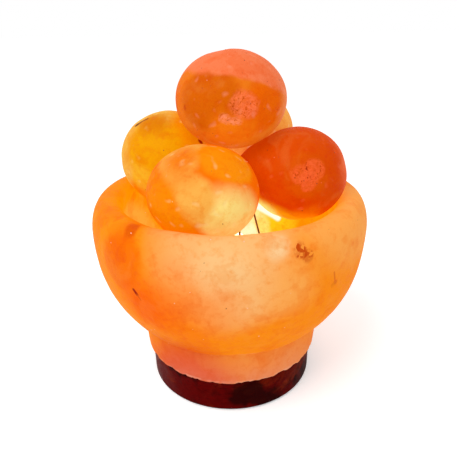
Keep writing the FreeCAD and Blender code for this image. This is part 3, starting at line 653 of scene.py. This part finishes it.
clear_glass = moulded("lead_glass", "#C9D2CE", "#B7C0BC", 0.12)
nickel_cap = plated_metal("nickel_plated_cap", "#CFC9BE", "#B3AC9F", 0.22, 0.004)
nickel_wire = plated_metal("drawn_nickel", "#C2BEB5", "#A39E94", 0.3, 0.002)
black_glass = moulded("black_vitrite", "#0B0B0C", "#17171A", 0.15)
solder = plated_metal("lead_free_solder", "#B5B5B4", "#929291", 0.45, 0.002)
tungsten, tungsten_tree, tungsten_shader, tungsten_place = new_finish("glowing_tungsten")
flicker = add_node(tungsten_tree, "ShaderNodeTexNoise", {}, {
    "Vector": tungsten_place, "Scale": drawn_per_metre})["Color"]
connect(tungsten_tree, tungsten_shader, {
    "Base Color": flicker, "Metallic": 1.0, "Roughness": 0.5,
    "Emission Color": linear(frost_hot), "Emission Strength": filament_glow})

joined("bulb_glass", "frosted_bulb", "bulb", "bulb_frost", lit_frosted_glass(), rolled_crease)
joined("bulb_cap", "threaded_cap", "bulb", "cap_nickel", nickel_cap, rolled_crease)
joined("cap_insulator", "glass_insulator", "bulb_tip", "insulator_glass", black_glass)
joined("cap_contact", "soldered_tip", "bulb_tip", "solder", solder)
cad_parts["bulb_stem"].material_slots[0].material = clear_glass
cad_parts["filament"].material_slots[0].material = tungsten
for part in ("lead_wire_1", "lead_wire_2", "support_wire"):
    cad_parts[part].material_slots[0].material = nickel_wire


# Bulb guard. Nickel-plated wire: two hoops crossed over the bulb and two rings welded outside
# them, which keep the salt balls off the heated glass. The wire is coloured a dark brown.
guard_plate = plated_metal("dark_brown_nickel_wire", "#7A5A38", "#4E3520", 0.40, 0.006)
for part in ("guard_hoop_1", "guard_hoop_2", "guard_ring_base", "guard_ring_mid"):
    joined(part, f"wire_{part}", "guard", "guard_wire", guard_plate, rolled_crease)


# Salt balls. Lumps of the same salt ground roughly round and sanded, each from another vein,
# so one is red with iron and one almost amber. Their flats are where the grinding wheel sat.
# Each has its ground colour, stain patches with painted light from the bulb and painted reflections
# among them, rust, torn patches, cracks and iron specks per square metre.
first_ball_seed = 5
ball_levels = 7
flat_count = 16
flat_depth = 0.030
flat_edge = 260
lump_depth = 0.0006
pit_depth = 0.0006
torn_depth = 0.0007
lumps_per_metre, pits_per_metre, folds_per_metre, crumbs_per_metre = 60, 240, 420, 900

ball_salts = {
    "ball_top": dict(ground="#EC7715", chip="#FF9C78", stains_and_light=[
        ((-13.0, -36.0, 184.0), 20.0, 0.16, "#D96100"),
        ((20.0, -31.0, 176.0), 14.0, 0.20, "#ED6500"),
        ((2.0, -36.0, 160.0), 16.0, 0.35, "#F98010"),
        ((-24.0, 0.0, 176.0), 12.0, 0.30, "#E86410"),
        # painted reflections of the room's light: pinker over the top and on the right side
        ((12.0, 10.0, 215.0), 45.0, 0.03, "#F57C4C"),
        ((38.0, -6.0, 176.0), 12.0, 0.80, "#FF9A68"),
    ], rust=[((-22.3, -22.0, 178.1), 1.4)], torn=[
        # the torn patches' paler colour is partly a painted glint of light on rough crystal
        ((8.0, -33.0, 180.5), 7.0, "#FB7644"), ((-1.0, -33.5, 172.6), 3.6, "#FF8E60"),
        ((3.5, -33.5, 171.6), 3.4, "#FF8E60"),
    ], cracks=[
        ((8.0, -32.5, 184.5), (10.4, -32.5, 180.5), 0.5, "#B03800"),
        ((2.0, -33.4, 178.4), (5.6, -33.6, 178.0), 0.45, "#C04800"),
    ], flats=[((0.77, 0.25, 0.59), 0.045)], specks=8000.0),
    "ball_right": dict(ground="#DC4B00", chip="#F46C38", stains_and_light=[
        # painted light from the bulb: yellow and orange on the underside nearest it
        ((31.4, -3.8, 112.0), 27.0, 0.12, "#F3B200"),
        ((45.0, -42.3, 102.2), 21.7, 0.25, "#FB9702"),
        ((42.4, -46.0, 146.0), 19.0, 0.10, "#DC5400"),
        # painted reflection of the room's light along the right edge
        ((75.0, -10.0, 144.0), 15.0, 0.70, "#FF7C4C"),
        ((40.0, 40.0, 140.0), 30.0, 0.20, "#F27A50"),
        # painted light from the bulb, pale yellow beside the gap next to it
        ((21.4, -18.0, 116.6), 8.5, 0.42, "#EBF386"),
    ], torn=[
        # the torn patches' salmon colour is partly a painted reflection of the room's light
        ((38.0, -36.5, 144.0), 5.2, "#F4622E"), ((45.5, -33.0, 145.0), 5.8, "#F4622E"),
        ((43.0, -35.0, 139.0), 4.4, "#F4622E")], specks=5000.0),
    "ball_front": dict(ground="#FF7100", chip="#FFDC9C", stains_and_light=[
        ((1.6, -80.4, 102.5), 45.0, 0.16, "#FEDE80"),
        ((-31.1, -77.7, 142.8), 27.2, 0.10, "#F7AE4A"),
        ((-20.1, -39.5, 144.5), 17.4, 0.10, "#F7D367"),
        ((-29.7, -41.8, 121.9), 28.7, 0.07, "#F78700"),
        ((-28.1, -49.2, 166.5), 19.6, 0.60, "#F37B00"),
        ((3.4, -48.2, 160.4), 17.5, 0.14, "#FC8E06"),
    ], specks=2200.0),
    "ball_left": dict(ground="#F59200", chip="#FFD27A", stains_and_light=[
        ((-61.3, 17.7, 156.5), 30.8, 0.12, "#F4B848"),
        ((-53.9, -31.0, 165.0), 38.6, 0.12, "#F0A100"),
        ((-45.1, 3.4, 167.1), 10.4, 0.60, "#E18700"),
        ((-52.7, -9.3, 131.0), 9.8, 0.30, "#F5B826"),
    ], cracks=[((-54.2, 11.6, 161.6), (-52.2, 11.4, 162.7), 1.7, "#6E2400"),
               ((-52.2, 11.4, 162.7), (-47.5, 10.8, 164.8), 1.1, "#A85400"),
               ((-16.5, 2.9, 153.0), (-15.0, 2.6, 152.0), 1.4, "#A02000")], specks=2500.0),
    "ball_rear": dict(ground="#FFAE4E", chip="#FFD8B0", stains_and_light=[
        ((25.1, 25.9, 137.7), 16.3, 0.40, "#F8600C"),
    ], specks=2500.0),
}
nose_way = Vector((-0.94, 0.10, 0.31)).normalized()
nose_reach = 0.21
nose_spread = 0.72
nose_bluntness = 1.5


def ground_ball_mesh(node, seed, torn, flats):
    """A ball as large as its packed box, with flats, lumps and pits worn into it. The right one
    has a blunt nose besides, which stands out past its box."""
    low, high = (Vector(corner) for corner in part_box(node))
    centre, half = (low + high) / 2, (high - low) / 2
    chance = random.Random(seed)
    cuts = [(Vector(way).normalized(), 1 - depth) for way, depth in flats]
    for _ in range(flat_count):
        way = Vector([chance.gauss(0, 1) for _ in range(3)]).normalized()
        cuts.append((way, 1 - flat_depth * chance.uniform(0.2, 1.0)))
    shape = bmesh.new()
    bmesh.ops.create_icosphere(shape, subdivisions=ball_levels, radius=1.0)
    crumbled = shape.verts.layers.float.new("crumbled")
    for vertex in shape.verts:
        way = vertex.co.normalized()
        share = 1.0
        for facing_way, depth in cuts:
            facing = way.dot(facing_way)
            if facing > 0.5:
                both = math.exp(-share * flat_edge) + math.exp(-depth / facing * flat_edge)
                share = -math.log(both) / flat_edge
        if node == "ball_right":
            share += nose_reach * max(0.0, 1 - way.angle(nose_way) / nose_spread) ** nose_bluntness
        spot = centre + Vector([w * h for w, h in zip(way, half)])
        dip = lump_depth * max(0.0, noise.noise(spot * lumps_per_metre) + 0.2)
        pit = max(0.0, noise.noise(spot * pits_per_metre) - 0.40) * 2
        dip += pit_depth * pit
        for place, reach, _ in torn:
            bare = max(0.0, 1 - ((spot - Vector(place) / 1000).length * 1000 / reach) ** 2)
            rough = 0.6 + noise.noise(spot * folds_per_metre)
            rough += 0.4 * noise.noise(spot * crumbs_per_metre)
            dip += torn_depth * bare ** 0.5 * max(0.0, rough)
        vertex.co = centre + Vector([w * h * (share - dip / half.x) for w, h in zip(way, half)])
        vertex[crumbled] = min(1.0, pit * 0.5)
    mesh = bpy.data.meshes.new(f"ground_{node}")
    shape.to_mesh(mesh)
    shape.free()
    mesh.shade_smooth()
    return mesh


salts = [(carved_bowl, "base", "salt_bowl", bowl_specks)]
for seed, (node, salt) in enumerate(ball_salts.items(), first_ball_seed):
    flats, ball_specks = salt.pop("flats", ()), salt.pop("specks")
    mesh = ground_ball_mesh(node, seed, salt.get("torn", ()), flats)
    mesh.materials.append(rock_salt(f"{node}_rock_salt", **salt))
    ball = new_piece(f"ground_{node}", mesh, node, f"salt_{node}", node)
    salts.append((ball, node, f"salt_{node}", ball_specks))


# Flecks. Clay and iron grains are caught in the salt and stand out a little once the softer
# crystal is sanded away, and here and there a crystal face has chipped off paler.
fleck_iron = "#8E380A"
fleck_clay = "#6A2606"
chips_per_square_metre = 900.0
first_fleck_seed = 20
full_turn = 6.28


def strewn_grains():
    """Small flattened grains strewn on a surface, sunk so that only their crowns show."""
    tree = bpy.data.node_groups.new("strewn_grains", "GeometryNodeTree")
    tree.is_modifier = True
    face = tree.interface
    face.new_socket("Surface", in_out="INPUT", socket_type="NodeSocketGeometry")
    for label, kind in (("Per square metre", "NodeSocketFloat"), ("Smallest", "NodeSocketFloat"),
                        ("Largest", "NodeSocketFloat"), ("Paleness", "NodeSocketFloat"),
                        ("Seed", "NodeSocketInt"), ("Finish", "NodeSocketMaterial")):
        face.new_socket(label, in_out="INPUT", socket_type=kind)
    face.new_socket("Grains", in_out="OUTPUT", socket_type="NodeSocketGeometry")
    given = add_node(tree, "NodeGroupInput")
    spots = add_node(tree, "GeometryNodeDistributePointsOnFaces", {}, {
        "Mesh": given["Surface"], "Density": given["Per square metre"], "Seed": given["Seed"]})
    grain = add_node(tree, "GeometryNodeMeshIcoSphere", {}, {
        "Radius": 0.5, "Subdivisions": 2})["Mesh"]
    size = add_node(tree, "FunctionNodeRandomValue", {"data_type": "FLOAT"}, {
        2: given["Smallest"], 3: given["Largest"], "Seed": given["Seed"]})[1]
    spin = add_node(tree, "FunctionNodeRandomValue", {"data_type": "FLOAT"}, {
        2: 0.0, 3: full_turn, "Seed": 7})[1]
    turn = add_node(tree, "ShaderNodeCombineXYZ", {}, {"Z": spin})["Vector"]
    laid = add_node(tree, "FunctionNodeRotateEuler", {"space": "LOCAL"}, {
        "Rotation": spots["Rotation"], "Rotate By": turn})["Rotation"]
    flat = add_node(tree, "ShaderNodeVectorMath", {"operation": "SCALE"}, {
        0: (1.0, 0.65, 0.25), "Scale": size})["Vector"]
    strewn = add_node(tree, "GeometryNodeInstanceOnPoints", {}, {
        "Points": spots["Points"], "Instance": grain, "Rotation": laid, "Scale": flat})["Instances"]
    real = add_node(tree, "GeometryNodeRealizeInstances", {}, {"Geometry": strewn})["Geometry"]
    pale = add_node(tree, "GeometryNodeStoreNamedAttribute", {
        "data_type": "FLOAT", "domain": "POINT"}, {
        "Geometry": real, "Name": "crumbled", "Value": given["Paleness"]})["Geometry"]
    done = add_node(tree, "GeometryNodeSetMaterial", {}, {
        "Geometry": pale, "Material": given["Finish"]})["Geometry"]
    add_node(tree, "NodeGroupOutput", {}, {"Grains": done})
    return tree


def strewn_mesh(tree, surface, name, values):
    """The grains that the tree strews on a surface, as a plain mesh of their own."""
    ground = bpy.data.objects.new("ground", surface.data)
    bpy.context.scene.collection.objects.link(ground)
    modifier = ground.modifiers.new("grains", "NODES")
    modifier.node_group = tree
    sockets = {
        item.name: item.identifier for item in tree.interface.items_tree if item.in_out == "INPUT"}
    for label, value in values.items():
        modifier[sockets[label]] = value
    ready = ground.evaluated_get(bpy.context.evaluated_depsgraph_get())
    mesh = bpy.data.meshes.new_from_object(ready)
    mesh.name = name
    ground.modifiers.remove(modifier)
    bpy.data.objects.remove(ground)
    return mesh


iron_grain = moulded("iron_grain", fleck_iron, fleck_clay, 0.7)
grains = strewn_grains()
for seed, (surface, body, slot, specks_per_square_metre) in enumerate(salts, first_fleck_seed):
    own_salt = surface.data.materials[0]
    for kind, finish, density, least, most, paleness in (
            ("iron", iron_grain, specks_per_square_metre, 0.0003, 0.0008, 0.0),
            ("chip", own_salt, chips_per_square_metre, 0.0004, 0.0011, 0.8)):
        mesh = strewn_mesh(grains, surface, f"{surface.name}_{kind}_flecks", {
            "Per square metre": density, "Smallest": least, "Largest": most, "Paleness": paleness,
            "Seed": seed, "Finish": finish})
        new_piece(mesh.name, mesh, body, slot)


# Floor, light and camera. A white floor under a white room, one large soft lamp above to the
# left, and the camera where the photograph was taken from.
floor_grey = "#F4F4F4"
floor_lift = 0.35
floor_width = 12
room_light = 0.75
lamp_watts = 9.0
lamp_width = 0.8
lamp_place = (-0.5, -0.6, 1.1)
camera_distance = 0.3136
camera_tilt = 0.406
camera_roll = -0.016
camera_aim = Vector((0, 0, 0.0976))
camera_focal = 500 / 459


def seen_rays(tree):
    """1 where a ray comes from the camera, or from a mirror or glass that shows the room."""
    path = add_node(tree, "ShaderNodeLightPath")
    either = add_node(tree, "ShaderNodeMath", {"operation": "MAXIMUM"}, {
        0: path["Is Camera Ray"], 1: path["Is Glossy Ray"]})["Value"]
    return add_node(tree, "ShaderNodeMath", {"operation": "MAXIMUM"}, {
        0: either, 1: path["Is Transmission Ray"]})["Value"]


world = bpy.data.worlds.new("white_room")
bpy.context.scene.world = world
world.use_nodes = True
room = world.node_tree
strength = add_node(room, "ShaderNodeMapRange", {}, {
    "Value": seen_rays(room), "To Min": room_light, "To Max": 1.0})["Result"]
connect(room, room.nodes["Background"], {"Color": (1, 1, 1, 1), "Strength": strength})

bpy.ops.mesh.primitive_plane_add(size=floor_width, location=(0, 0, 0))
floor = bpy.context.object
floor.name = "white_floor"
paper, floor_tree, floor_shader, _ = new_finish("white_paper")
lift = add_node(floor_tree, "ShaderNodeLightPath")["Is Camera Ray"]
lift = add_node(floor_tree, "ShaderNodeMath", {"operation": "MULTIPLY"}, {
    0: lift, 1: floor_lift})["Value"]
connect(floor_tree, floor_shader, {
    "Base Color": linear(floor_grey), "Roughness": 0.9, "Specular IOR Level": 0.0,
    "Emission Color": (1, 1, 1, 1), "Emission Strength": lift})
floor.data.materials.append(paper)

sun = bpy.data.lights.new("soft_lamp", "AREA")
sun.shape, sun.size, sun.energy = "DISK", lamp_width, lamp_watts
lamp = bpy.data.objects.new("soft_lamp", sun)
bpy.context.scene.collection.objects.link(lamp)
lamp.location = lamp_place
lamp.rotation_euler = (camera_aim - lamp.location).to_track_quat("-Z", "Y").to_euler()

lens = bpy.data.cameras.new("camera")
lens.sensor_width = 36.0
lens.lens = lens.sensor_width * camera_focal
camera = bpy.data.objects.new("camera", lens)
bpy.context.scene.collection.objects.link(camera)
camera_way = Vector((0, -math.cos(camera_tilt), math.sin(camera_tilt)))
camera.location = camera_aim + camera_distance * camera_way
camera.rotation_mode = "QUATERNION"
camera.rotation_quaternion = (camera_aim - camera.location).to_track_quat("-Z", "Y")
camera.rotation_quaternion @= Quaternion((0, 0, 1), camera_roll)
bpy.context.scene.camera = camera
bpy.context.scene.view_settings.view_transform = "Standard"
